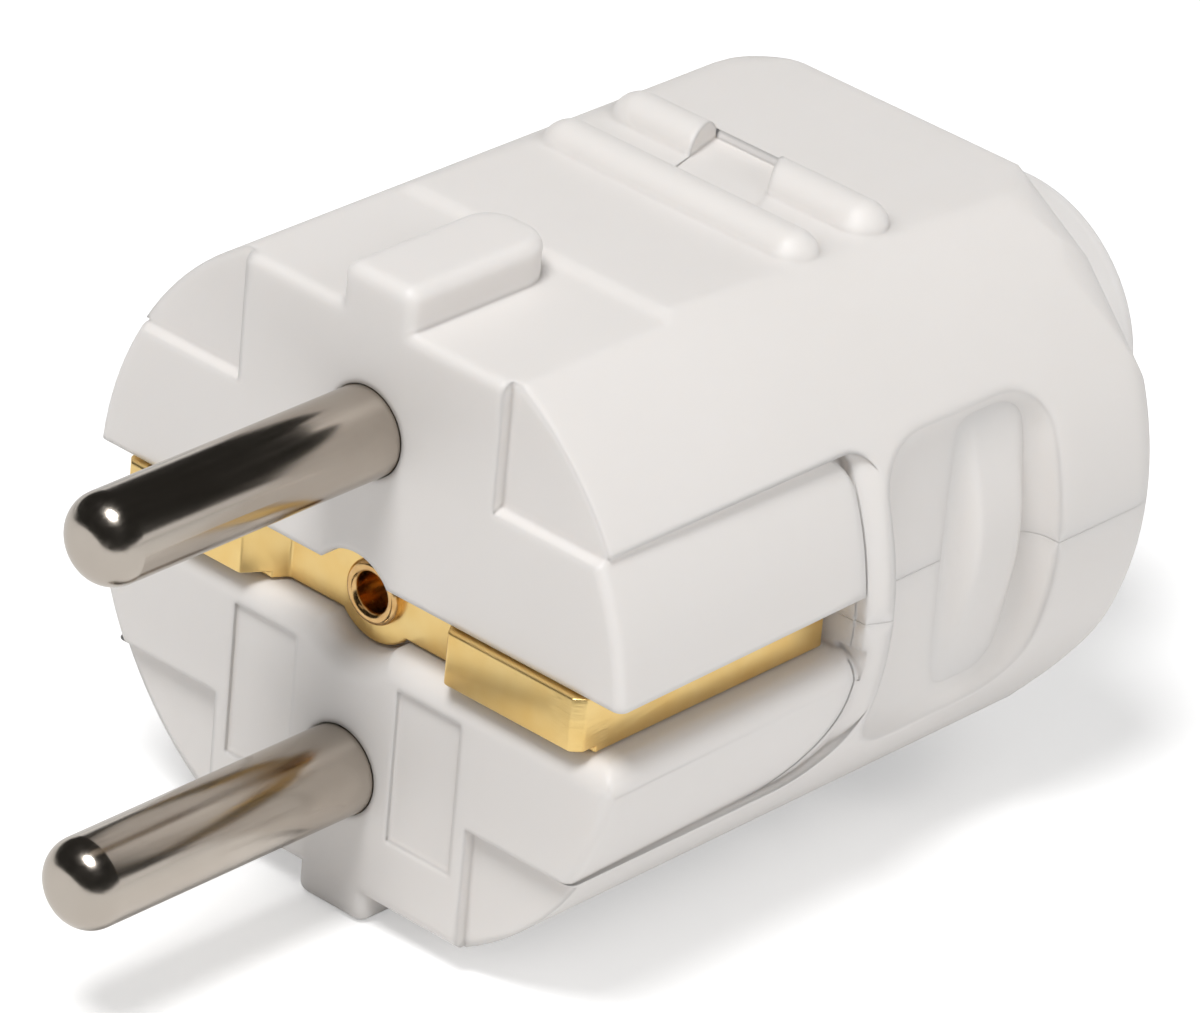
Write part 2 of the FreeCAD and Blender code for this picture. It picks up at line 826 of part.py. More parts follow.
def shell(name, side):
    """Build one half of the housing with its inner supports."""
    reach = (0, far) if side > 0 else (-far, 0)
    half = common(f"{name}_half", housing, box(f"{name}_space", (-far, far), (-5, 45), reach))
    wall = d.cavity_height + 0.7
    inner = (size(0), wall) if side > 0 else (-wall, size(0))
    supports = []
    for hand, across in (("right", 1), ("left", -1)):
        rail = (10.6, d.cavity_half + 0.5) if across > 0 else (-d.cavity_half - 0.5, -10.6)
        level = (0.4, 9) if side > 0 else (-9, -0.4)
        front = (d.face_wall - 0.5, d.collar_end)
        back = (d.carrier_end, d.carrier_end + 1.6)
        supports.append(box(f"{name}_{hand}_ledge", rail, front, level))
        supports.append(box(f"{name}_{hand}_stop", rail, back, level))
        supports.append(
            rod(
                f"{name}_{hand}_boss",
                "z",
                d.boss_radius,
                *inner,
                x=across * d.close_spread,
                y=d.close_place,
            )
        )
        supports.append(
            rod(
                f"{name}_{hand}_peg_boss",
                "z",
                d.peg_radius * 2,
                *((size(0), size(12)) if side > 0 else (size(-12), size(0))),
                x=across * d.peg_spread,
                y=d.peg_place,
            )
        )
    holes = []
    if side < 0:
        for hand, across in (("right", 1), ("left", -1)):
            foot = rod(
                f"{name}_{hand}_foot",
                "z",
                d.foot_radius,
                -wall,
                2 - d.sink_level,
                x=across * d.close_spread,
                y=d.close_place,
            )
            post = rod(
                f"{name}_{hand}_post",
                "z",
                d.post_radius,
                -wall,
                d.post_height,
                x=across * d.clamp_spread,
                y=d.clamp_place,
            )
            peg = rod(
                f"{name}_{hand}_peg",
                "z",
                d.peg_radius,
                -1,
                2.5,
                x=across * d.peg_spread,
                y=d.peg_place,
            )
            supports.extend((foot, post, peg))
            holes.append(
                rod(
                    f"{name}_{hand}_post_hole",
                    "z",
                    d.clamp_thread,
                    d.post_height - 11,
                    d.post_height + 1,
                    x=across * d.clamp_spread,
                    y=d.clamp_place,
                )
            )
            holes.append(
                rod(
                    f"{name}_{hand}_close_hole",
                    "z",
                    d.close_thread + 0.1,
                    -far,
                    1,
                    x=across * d.close_spread,
                    y=d.close_place,
                )
            )
            holes.append(
                rod(
                    f"{name}_{hand}_sink",
                    "z",
                    d.sink_radius,
                    -far,
                    -d.sink_level,
                    x=across * d.close_spread,
                    y=d.close_place,
                )
            )
        saddle = box(
            f"{name}_saddle",
            (-d.clamp_spread, d.clamp_spread),
            (d.clamp_place - 1.5, d.clamp_place + 1.5),
            (-wall, -2.4),
        )
        supports.append(saddle)
        holes.append(rod(f"{name}_saddle_cut", "y", size(4.4), 20, 30, z=0.6))
    else:
        for hand, across in (("right", 1), ("left", -1)):
            holes.append(
                rod(
                    f"{name}_{hand}_peg_hole",
                    "z",
                    d.peg_radius + 0.05,
                    -1,
                    3,
                    x=across * d.peg_spread,
                    y=d.peg_place,
                )
            )
            holes.append(
                rod(
                    f"{name}_{hand}_screw_room",
                    "z",
                    d.close_thread + 0.1,
                    -1,
                    7,
                    x=across * d.close_spread,
                    y=d.close_place,
                )
            )
            holes.append(
                hexagon(f"{name}_{hand}_nut_room", d.nut_flat, -1, d.nut_thick, across)
            )
    trimmed = common(
        f"{name}_supports",
        fuse(f"{name}_support_set", *supports),
        rod(f"{name}_limit", "y", d.body_radius - 1.2, 1, d.body_reach - 1),
    )
    return cut(f"{name}_cut", fuse(f"{name}_whole", half, trimmed), *holes)


def hexagon(label, flat, low, high, across):
    """Return a hexagonal prism standing at one housing screw."""
    long_half = flat * 2 / root(size(3))
    middle_x = across * d.close_spread
    corners = [
        (middle_x - long_half, d.close_place),
        (middle_x - long_half / 2, d.close_place - flat),
        (middle_x + long_half / 2, d.close_place - flat),
        (middle_x + long_half, d.close_place),
        (middle_x + long_half / 2, d.close_place + flat),
        (middle_x - long_half / 2, d.close_place + flat),
    ]
    return prism(label, "XY_Plane", corners, low, high)


upper_form = shell("upper", 1)
lower_form = shell("lower", -1)


def pin(name, side):
    """Build a contact pin with its collar and terminal head."""
    tip_start = d.pin_tip - d.pin_reach
    stem = turned(
        f"{name}_stem",
        [
            (0, -d.pin_reach),
            (d.pin_radius - d.pin_tip, -d.pin_reach, d.pin_radius - d.pin_tip, tip_start),
            (d.pin_radius, tip_start),
            (d.pin_radius, 0),
            (d.neck_radius, 0),
            (d.neck_radius, d.face_wall),
            (d.collar_radius, d.face_wall),
            (d.collar_radius, d.collar_end),
            (d.head_radius, d.collar_end),
            (d.head_radius, d.head_end),
            (0, d.head_end),
        ],
    )
    place(stem, 0, 0, side * d.pin_offset)
    level = side * d.pin_offset
    return cut(
        f"{name}_form",
        stem,
        rod(f"{name}_wire", "y", d.wire_radius, d.head_end - d.wire_depth, far, z=level),
        rod(f"{name}_tap", "x", d.thread_radius, 0, far, y=d.screw_place, z=level),
        box(
            f"{name}_flat",
            (d.head_flat, far),
            (d.carrier_end, far),
            (level - 6, level + 6),
        ),
    )


upper_pin = pin("upper_pin", 1)
lower_pin = pin("lower_pin", -1)


def screw(label, axis, shank, tip, seat, head, **where):
    """Build a slotted screw from its tip to the top of its head."""
    top = size(seat) + d.head_thick
    if size(seat).value < size(tip).value:
        top = size(seat) - d.head_thick
        body = rod(f"{label}_shank", axis, shank, seat, tip, **where)
        disc = rod(f"{label}_disc", axis, head, top, seat, **where)
        slit = (top - 1, top + d.slit_depth)
    else:
        body = rod(f"{label}_shank", axis, shank, tip, seat, **where)
        disc = rod(f"{label}_disc", axis, head, seat, top, **where)
        slit = (top - d.slit_depth, top + 1)
    centre = {"x": size(0), "y": size(0), "z": size(0)}
    centre.update({key: size(value) for key, value in where.items()})
    spans = {key: (value - 6, value + 6) for key, value in centre.items()}
    narrow = {"x": "z", "y": "x", "z": "y"}[axis]
    spans[narrow] = (centre[narrow] - d.slit_width / 2, centre[narrow] + d.slit_width / 2)
    spans[axis] = slit
    groove = box(f"{label}_slit", spans["x"], spans["y"], spans["z"])
    return cut(f"{label}_form", fuse(f"{label}_blank", body, disc), groove)


upper_terminal_screw = screw(
    "upper_terminal",
    "x",
    d.thread_radius,
    0.5,
    d.head_flat,
    d.head_disc,
    y=d.screw_place,
    z=d.pin_offset,
)
lower_terminal_screw = screw(
    "lower_terminal",
    "x",
    d.thread_radius,
    0.5,
    d.head_flat,
    d.head_disc,
    y=d.screw_place,
    z=-d.pin_offset,
)
earth_terminal_screw = screw(
    "earth_screw",
    "x",
    d.thread_radius,
    0.5,
    d.block_half,
    d.head_disc,
    y=d.screw_place,
    z=0,
)
clamp_top = d.post_height + d.bar_thick
clamp_screws = [
    screw(
        f"clamp_{hand}",
        "z",
        d.clamp_thread,
        d.post_height - 10,
        clamp_top,
        d.clamp_head,
        x=across * d.clamp_spread,
        y=d.clamp_place,
    )
    for hand, across in (("right", 1), ("left", -1))
]
housing_screws = [
    screw(
        f"close_{hand}",
        "z",
        d.close_thread,
        5,
        -d.sink_level,
        d.close_head,
        x=across * d.close_spread,
        y=d.close_place,
    )
    for hand, across in (("right", 1), ("left", -1))
]
housing_nuts = [
    cut(
        f"nut_{hand}",
        hexagon(f"nut_{hand}_body", d.nut_flat, 0, d.nut_thick, across),
        rod(
            f"nut_{hand}_thread",
            "z",
            d.close_thread,
            -1,
            5,
            x=across * d.close_spread,
            y=d.close_place,
        ),
    )
    for hand, across in (("right", 1), ("left", -1))
]

# Earth strip: one bent sheet, drawn from above, with a disc in the middle.
def strip_arm(tab_start):
    """Return one side of the strip's outline, from its middle round to the middle."""
    return [
        (tab_start - 1.4, d.strip_recess),
        (tab_start, d.tab_face),
        (d.tab_end, d.tab_face),
        (d.leg_reach + 0.2, d.tab_face + 0.5),
        (d.leg_reach, d.leg_end),
        (d.leg_reach - d.strip_sheet, d.leg_end),
        (d.leg_reach + 0.2 - d.strip_sheet, d.tab_face + d.strip_sheet),
        (tab_start + 0.4, d.tab_face + d.strip_sheet),
        (tab_start - 1.0, d.slot_floor),
    ]


around = strip_arm(d.tab_right)
around += [(-x, y) for x, y in reversed(strip_arm(d.tab_left))]
strip_sheet = prism("strip_bent", "XY_Plane", around, strip_low, strip_high)
round_edges(
    strip_sheet,
    "strip_bends",
    size(0.3),
    lambda edge: runs(edge, Z) and middle(edge).y < d.leg_end.value - 1,
)
earth_strip = cut(
    "strip_form",
    fuse(
        "strip_blank",
        strip_sheet,
        rod("strip_disc", "y", d.disc_radius, d.strip_recess, d.slot_floor),
    ),
    rod("strip_hole", "y", d.eyelet_tube, 0, 6),
    box("strip_trim", (-far, far), (-1, 1), (-5, -d.tab_low)),
)

# Eyelet: a tube with a rolled head in front and a spread foot behind the block's plate.
block_plate = d.face_wall + 1.2
earth_eyelet = turned(
    "eyelet_form",
    [
        (d.eyelet_bore, d.strip_recess - 0.2, d.eyelet_bore + 0.35, d.strip_recess - 0.2),
        (d.eyelet_bore + 0.35, d.strip_recess - 0.55, d.eyelet_bore + 0.35, d.strip_recess - 0.2),
        (d.eyelet_radius, d.strip_recess - 0.2),
        (d.eyelet_radius, d.strip_recess),
        (d.eyelet_tube, d.strip_recess),
        (d.eyelet_tube, block_plate),
        (d.eyelet_radius + 0.1, block_plate),
        (d.eyelet_radius + 0.1, block_plate + 0.4),
        (d.eyelet_bore, block_plate + 0.4),
    ],
)

earth_terminal = cut(
    "terminal_form",
    box(
        "terminal_block",
        (-d.block_half, d.block_half),
        (d.face_wall, d.block_end),
        (-d.block_half, d.block_half),
    ),
    rod("terminal_rivet", "y", d.eyelet_tube, 0, 8),
    rod("terminal_bore", "y", d.block_bore, block_plate, far),
    rod("terminal_tap", "x", d.thread_radius, 0, far, y=d.screw_place),
)

# Carrier: a plate behind the collars, with barriers between the terminals.
plate = common(
    "carrier_plate",
    rod("carrier_round", "y", d.carrier_radius, d.collar_end, d.carrier_end),
    box(
        "carrier_box",
        (-d.carrier_half, d.carrier_half),
        (0, far),
        (-d.carrier_height, d.carrier_height),
    ),
)
barriers = [
    box(
        f"barrier_{name}",
        (-d.barrier_half, d.barrier_half),
        (d.carrier_end - 1, d.barrier_end),
        (side * d.barrier_level - 0.6, side * d.barrier_level + 0.6),
    )
    for name, side in (("upper", 1), ("lower", -1))
]
terminal_carrier = cut(
    "carrier_form",
    fuse("carrier_whole", plate, *barriers),
    rod("carrier_upper_hole", "y", d.head_radius, 0, 30, z=d.pin_offset),
    rod("carrier_lower_hole", "y", d.head_radius, 0, 30, z=-d.pin_offset),
    box(
        "carrier_square",
        (-d.block_half, d.block_half),
        (0, 30),
        (-d.block_half, d.block_half),
    ),
)

# Clamp bar: a flat bar with a blunt tooth below.
bar = box(
    "bar_body",
    (-d.bar_half, d.bar_half),
    (d.clamp_place - d.bar_width / 2, d.clamp_place + d.bar_width / 2),
    (d.post_height, clamp_top),
)
tooth = rod("bar_tooth", "x", size(1.5), -4.5, 4.5, y=d.clamp_place, z=d.post_height)
clamp_bar = cut(
    "bar_form",
    fuse("bar_whole", bar, tooth),
    *[
        rod(
            f"bar_hole_{hand}",
            "z",
            d.clamp_thread + 0.2,
            0,
            10,
            x=across * d.clamp_spread,
            y=d.clamp_place,
        )
        for hand, across in (("right", 1), ("left", -1))
    ],
)

# Cable sleeve: a flange caught behind the rear wall and a round outlet with a wide mouth.
cable_sleeve = turned(
    "sleeve_form",
    [
        (d.cable_radius, d.body_reach - d.rear_wall - 2),
        (d.flange_radius, d.body_reach - d.rear_wall - 2),
        (d.flange_radius, d.body_reach - d.rear_wall),
        (d.mouth_radius, d.body_reach - d.rear_wall),
        (d.mouth_radius, d.body_reach),
        (d.spout_base, d.body_reach),
        (
            d.spout_radius,
            d.spout_end - d.spout_round,
            d.spout_radius - d.spout_round,
            d.spout_end - d.spout_round,
        ),
        (d.spout_radius - d.spout_round, d.spout_end),
        (d.bell_radius, d.spout_end),
        (d.cable_radius, d.bell_start),
    ],
)

NODES = {
    "upper_shell": [upper_form],
    "lower_shell": [lower_form],
    "upper_pin": [upper_pin],
    "lower_pin": [lower_pin],
    "earth_strip": [earth_strip],
    "earth_eyelet": [earth_eyelet],
    "earth_terminal": [earth_terminal],
    "terminal_carrier": [terminal_carrier],
    "upper_terminal_screw": [upper_terminal_screw],
    "lower_terminal_screw": [lower_terminal_screw],
    "earth_terminal_screw": [earth_terminal_screw],
    "clamp_bar": [clamp_bar],
    "clamp_screws": clamp_screws,
    "housing_screws": housing_screws,
    "housing_nuts": housing_nuts,
    "cable_sleeve": [cable_sleeve],
}

doc.recompute()
for item in doc.Objects:
    if "Invalid" in item.State or "Error" in item.State:
        raise RuntimeError(f"{item.Name} failed: {item.State}")

os.makedirs("parts", exist_ok=True)
for name, items in NODES.items():
    solids = [solid for item in items for solid in item.Shape.Solids]
    shape = solids[0] if len(solids) == 1 else Part.makeCompound(solids)
    if shape.isNull() or not shape.isValid():
        raise RuntimeError(name + " is not valid")
    if len(solids) != len(items):
        raise RuntimeError(f"{name} has {len(solids)} solids")
    part = doc.addObject("Part::Feature", name)
    part.Shape = shape
    part.Placement = Placement()
    part.Label = name
    shape.exportStep(f"parts/{name}.step")
    print(name, round(shape.Volume, 2))
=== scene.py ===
"""Rewireable type F plug: finishes, finer pieces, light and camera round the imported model."""

import logging
import math
from dataclasses import dataclass, field
from enum import Enum
from typing import Any

import bmesh
import bpy
from mathutils import Matrix, Vector

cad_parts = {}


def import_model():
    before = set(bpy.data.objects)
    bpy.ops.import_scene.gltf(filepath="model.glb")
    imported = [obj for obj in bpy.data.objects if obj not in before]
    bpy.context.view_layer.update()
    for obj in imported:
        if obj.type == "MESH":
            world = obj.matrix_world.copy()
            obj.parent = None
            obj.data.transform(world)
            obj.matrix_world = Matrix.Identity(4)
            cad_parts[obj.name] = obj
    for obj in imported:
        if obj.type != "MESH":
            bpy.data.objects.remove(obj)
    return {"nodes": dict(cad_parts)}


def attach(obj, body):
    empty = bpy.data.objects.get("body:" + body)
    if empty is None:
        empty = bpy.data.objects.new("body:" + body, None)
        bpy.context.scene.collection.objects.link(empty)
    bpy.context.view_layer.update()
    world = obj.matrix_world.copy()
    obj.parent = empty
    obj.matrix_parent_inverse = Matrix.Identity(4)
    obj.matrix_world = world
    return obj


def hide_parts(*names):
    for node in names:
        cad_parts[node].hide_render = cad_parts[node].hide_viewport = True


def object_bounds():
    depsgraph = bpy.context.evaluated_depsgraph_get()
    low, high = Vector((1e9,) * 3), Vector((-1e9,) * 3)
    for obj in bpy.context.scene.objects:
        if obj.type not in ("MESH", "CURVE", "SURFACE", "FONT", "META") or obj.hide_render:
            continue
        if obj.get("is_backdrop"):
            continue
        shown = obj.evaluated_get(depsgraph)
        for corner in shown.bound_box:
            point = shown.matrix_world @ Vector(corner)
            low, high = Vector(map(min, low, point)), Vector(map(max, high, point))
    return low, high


log = logging.getLogger("plug")

BODY = "root"
MM = 0.001
SAME_POINT = 1e-6
WHITE = "#FFFFFF"


def linear(hex_colour: str) -> tuple[float, float, float, float]:
    """Turn an sRGB hex value into a linear colour.

    Args:
        hex_colour: The colour as six hex digits after a hash.

    Returns:
        Red, green, blue and an alpha of one.
    """
    channels = [int(hex_colour[i : i + 2], 16) / 255 for i in (1, 3, 5)]
    values = [c / 12.92 if c <= 0.04045 else ((c + 0.055) / 1.055) ** 2.4 for c in channels]
    return (values[0], values[1], values[2], 1.0)


def per_mm(length: float) -> float:
    """Return the pattern scale that repeats once in a length given in millimetres."""
    return 1.0 / (length * MM)


def metres(values: tuple[float, float, float]) -> tuple[float, float, float]:
    """Turn three millimetre values into metres."""
    return (values[0] * MM, values[1] * MM, values[2] * MM)


def smooth(start: float, end: float, value: float) -> float:
    """Go softly from zero at the start to one at the end."""
    share = min(max((value - start) / (end - start), 0.0), 1.0)
    return share**3 * (share * (6.0 * share - 15.0) + 10.0)


def add_node(
    holder: bpy.types.Material | bpy.types.World,
    kind: str,
    settings: dict[str | int, Any] | None = None,
    links: dict[str | int, bpy.types.NodeSocket] | None = None,
) -> bpy.types.Node:
    """Add a shader node with its settings and its incoming links.

    Args:
        holder: The material or world that gets the node.
        kind: The node's type name.
        settings: Values by property name, input name or input number, properties first.
        links: Output sockets by the name or number of the input that they feed.

    Returns:
        The new node.
    """
    tree = holder.node_tree
    node = tree.nodes.new(kind)
    for name, value in (settings or {}).items():
        if isinstance(name, str) and hasattr(node, name):
            setattr(node, name, value)
        else:
            node.inputs[name].default_value = value
    for name, socket in (links or {}).items():
        tree.links.new(socket, node.inputs[name])
    return node


def new_material(name: str) -> bpy.types.Material:
    """Make an empty node material.

    Args:
        name: The name of the material.

    Returns:
        The new material.
    """
    material = bpy.data.materials.new(name)
    material.use_nodes = True
    material.node_tree.nodes.clear()
    return material


@dataclass(frozen=True)
class Zone:
    """An oval region, in millimetres, that is mirrored to the other side and to below.

    Its border is soft. Core and rim are the shares of the half sizes between which it fades.
    """

    middle: tuple[float, float, float]
    half: tuple[float, float, float]
    core: float = 0.75
    rim: float = 1.15

    def blend(
        self,
        material: bpy.types.Material,
        place: bpy.types.NodeSocket,
        outside: float,
        inside: float,
    ) -> bpy.types.NodeSocket:
        """Let a number go softly from its value outside the region to the one inside.

        Args:
            material: The material that gets the nodes.
            place: The object coordinates.
            outside: The number away from the region.
            inside: The number in the middle of the region.

        Returns:
            The socket that carries the number.
        """
        mirrored = add_node(
            material, "ShaderNodeVectorMath", {"operation": "ABSOLUTE"}, {0: place}
        )
        shifted = add_node(
            material,
            "ShaderNodeVectorMath",
            {"operation": "SUBTRACT", 1: metres(self.middle)},
            {0: mirrored.outputs["Vector"]},
        )
        scaled = add_node(
            material,
            "ShaderNodeVectorMath",
            {"operation": "DIVIDE", 1: metres(self.half)},
            {0: shifted.outputs["Vector"]},
        )
        distance = add_node(
            material,
            "ShaderNodeVectorMath",
            {"operation": "LENGTH"},
            {0: scaled.outputs["Vector"]},
        )
        blend = add_node(
            material,
            "ShaderNodeMapRange",
            {
                "interpolation_type": "SMOOTHSTEP",
                "From Min": self.core,
                "From Max": self.rim,
                "To Min": inside,
                "To Max": outside,
            },
            {"Value": distance.outputs["Value"]},
        )
        return blend.outputs["Result"]


@dataclass(frozen=True)
class SoftEdge:
    """A region in which the edges of a moulding are rounded more widely."""

    zone: Zone
    radius_mm: float


FINGER_SCOOPS = Zone((17.5, 26.0, 0.0), (4.5, 9.5, 13.0))
GRIP_FLAT_SIDES = Zone((9.6, 27.5, 15.4), (2.6, 13.0, 2.2))
GUIDE_RECESSES = Zone((5.0, 5.0, 16.5), (11.0, 11.0, 3.5))
STRIP_CORNERS = Zone((15.4, 0.4, 0.0), (1.6, 1.6, 6.0))


class Along(Enum):
    """The direction in which a finish was drawn, as stretch factors on X, Y and Z."""

    NOWHERE = (1.0, 1.0, 1.0)
    PIN = (1.0, 0.06, 1.0)
    SHEET = (0.12, 0.12, 1.0)
    TURNED = (1.0, 1.0, 0.2)


@dataclass(frozen=True)
class MouldedPlastic:
    """Injection moulded thermoplastic.

    The gloss is broken by a faint orange peel, edges are softly rounded by the tool, most of
    all where the fingers hold the plug, and the colour drifts a little where the melt cooled
    at a different rate. The parting line between the halves stays a hairline.
    """

    name: str
    colour: str
    cooled: str
    roughness: float
    edge_mm: float
    soft: tuple[SoftEdge, ...] = ()
    # Real orange peel is finer, and is drawn this coarse so that it shows.
    peel_mm: float = 0.9
    peel_depth_mm: float = 0.02
    peel_strength: float = 0.12
    glossier: float = 0.05
    duller: float = 0.07
    drift_mm: float = 14.0
    ior: float = 1.53
    glow: float = 0.22
    glow_mm: float = 2.0
    glow_tint: tuple[float, float, float] = (1.0, 0.9, 0.8)
    # Within the first distance from the parting line an edge keeps only this share of its
    # rounding, and from the second distance on it has all of it.
    parting_mm: tuple[float, float] = (0.1, 0.7)
    parting_share: float = 0.12

    def material(self) -> bpy.types.Material:
        """Build the material.

        Returns:
            The new material.
        """
        material = new_material(self.name)
        place = add_node(material, "ShaderNodeTexCoord").outputs["Object"]
        drift = add_node(
            material,
            "ShaderNodeTexNoise",
            {"Scale": per_mm(self.drift_mm), "Detail": 3.0, "Roughness": 0.55},
            {"Vector": place},
        )
        colour = add_node(
            material,
            "ShaderNodeMix",
            {"data_type": "RGBA", 6: linear(self.colour), 7: linear(self.cooled)},
            {"Factor": drift.outputs["Fac"]},
        )
        peel = add_node(
            material,
            "ShaderNodeTexNoise",
            {"Scale": per_mm(self.peel_mm), "Detail": 4.0, "Roughness": 0.6},
            {"Vector": place},
        )
        gloss = add_node(
            material,
            "ShaderNodeMapRange",
            {"To Min": self.roughness - self.glossier, "To Max": self.roughness + self.duller},
            {"Value": peel.outputs["Fac"]},
        )
        edge = add_node(
            material, "ShaderNodeBevel", {"samples": 10, "Radius": self.edge_mm * MM}
        )
        if self.soft:
            radius = self.edge_radius(material, place)
            material.node_tree.links.new(radius, edge.inputs["Radius"])
        bump = add_node(
            material,
            "ShaderNodeBump",
            {"Strength": self.peel_strength, "Distance": self.peel_depth_mm * MM},
            {"Height": peel.outputs["Fac"], "Normal": edge.outputs["Normal"]},
        )
        shader = add_node(
            material,
            "ShaderNodeBsdfPrincipled",
            {
                "IOR": self.ior,
                "Subsurface Weight": self.glow,
                "Subsurface Radius": self.glow_tint,
                "Subsurface Scale": self.glow_mm * MM,
            },
            {
                "Base Color": colour.outputs[2],
                "Roughness": gloss.outputs["Result"],
                "Normal": bump.outputs["Normal"],
            },
        )
        add_node(
            material, "ShaderNodeOutputMaterial", {}, {"Surface": shader.outputs["BSDF"]}
        )
        return material

    def edge_radius(
        self, material: bpy.types.Material, place: bpy.types.NodeSocket
    ) -> bpy.types.NodeSocket:
        """Give the rounding of the edges: wide in the soft regions, tiny at the parting line.

        Args:
            material: The material that gets the nodes.
            place: The object coordinates.

        Returns:
            The socket that carries the radius in metres.
        """
        radii = [
            part.zone.blend(material, place, self.edge_mm * MM, part.radius_mm * MM)
            for part in self.soft
        ]
        wide = radii[0]
        for radius in radii[1:]:
            widest = add_node(
                material, "ShaderNodeMath", {"operation": "MAXIMUM"}, {0: wide, 1: radius}
            )
            wide = widest.outputs["Value"]
        level = add_node(material, "ShaderNodeSeparateXYZ", {}, {"Vector": place})
        away = add_node(
            material, "ShaderNodeMath", {"operation": "ABSOLUTE"}, {0: level.outputs["Z"]}
        )
        parting = add_node(
            material,
            "ShaderNodeMapRange",
            {
                "From Min": self.parting_mm[0] * MM,
                "From Max": self.parting_mm[1] * MM,
                "To Min": self.parting_share,
                "To Max": 1.0,
            },
            {"Value": away.outputs["Value"]},
        )
        narrowed = add_node(
            material,
            "ShaderNodeMath",
            {"operation": "MULTIPLY"},
            {0: wide, 1: parting.outputs["Result"]},
        )
        return narrowed.outputs["Value"]


@dataclass(frozen=True)
class WorkedMetal:
    """Metal that was drawn, rolled, turned or plated.

    Fine streaks run along the working direction, strongest where the sheet was bent, the tone
    clouds slightly over a few millimetres, and sheared edges are stained a deeper colour.
    """

    name: str
    bright: str
    deep: str
    stained: str
    roughness: float
    along: Along = Along.NOWHERE
    # Real drawing and rolling marks are finer, and are drawn this coarse so that they show.
    streak_mm: float = 0.25
    streak_depth_mm: float = 0.05
    streak: float = 0.05
    bend_streak: float = 0.05
    bend: Zone = STRIP_CORNERS
    cloud_mm: float = 3.0
    # The roughness swings by the spread while the streaks' noise goes through its middle.
    spread: float = 0.08
    noise_middle: tuple[float, float] = (0.3, 0.7)
    least_roughness: float = 0.03
    edge_mm: float = 0.08
    # Cosines of the turn at an edge, from fully stained to clean.
    stain_turn: tuple[float, float] = (0.8, 0.995)

    def material(self) -> bpy.types.Material:
        """Build the material.

        Returns:
            The new material.
        """
        material = new_material(self.name)
        place = add_node(material, "ShaderNodeTexCoord").outputs["Object"]
        stretch = add_node(
            material,
            "ShaderNodeMapping",
            {"vector_type": "POINT", "Scale": self.along.value},
            {"Vector": place},
        )
        streaks = add_node(
            material,
            "ShaderNodeTexNoise",
            {"Scale": per_mm(self.streak_mm), "Detail": 5.0, "Roughness": 0.65},
            {"Vector": stretch.outputs["Vector"]},
        )
        clouds = add_node(
            material,
            "ShaderNodeTexNoise",
            {"Scale": per_mm(self.cloud_mm), "Detail": 2.0, "Roughness": 0.5},
            {"Vector": place},
        )
        clouded = add_node(
            material,
            "ShaderNodeMix",
            {"data_type": "RGBA", 6: linear(self.bright), 7: linear(self.deep)},
            {"Factor": clouds.outputs["Fac"]},
        )
        edge = add_node(material, "ShaderNodeBevel", {"samples": 8, "Radius": self.edge_mm * MM})
        flatness = add_node(
            material,
            "ShaderNodeVectorMath",
            {"operation": "DOT_PRODUCT"},
            {
                0: add_node(material, "ShaderNodeNewGeometry").outputs["Normal"],
                1: edge.outputs["Normal"],
            },
        )
        stain = add_node(
            material,
            "ShaderNodeMapRange",
            {
                "From Min": self.stain_turn[0],
                "From Max": self.stain_turn[1],
                "To Min": 1.0,
                "To Max": 0.0,
            },
            {"Value": flatness.outputs["Value"]},
        )
        colour = add_node(
            material,
            "ShaderNodeMix",
            {"data_type": "RGBA", 7: linear(self.stained)},
            {"Factor": stain.outputs["Result"], 6: clouded.outputs[2]},
        )
        gloss = add_node(
            material,
            "ShaderNodeMapRange",
            {
                "From Min": self.noise_middle[0],
                "From Max": self.noise_middle[1],
                "To Min": max(self.roughness - self.spread, self.least_roughness),
                "To Max": self.roughness + self.spread,
            },
            {"Value": streaks.outputs["Fac"]},
        )
        bump = add_node(
            material,
            "ShaderNodeBump",
            {"Distance": self.streak_depth_mm * MM},
            {
                "Strength": self.bend.blend(material, place, self.streak, self.bend_streak),
                "Height": streaks.outputs["Fac"],
                "Normal": edge.outputs["Normal"],
            },
        )
        shader = add_node(
            material,
            "ShaderNodeBsdfPrincipled",
            {"Metallic": 1.0},
            {
                "Base Color": colour.outputs[2],
                "Roughness": gloss.outputs["Result"],
                "Normal": bump.outputs["Normal"],
            },
        )
        add_node(
            material, "ShaderNodeOutputMaterial", {}, {"Surface": shader.outputs["BSDF"]}
        )
        return material


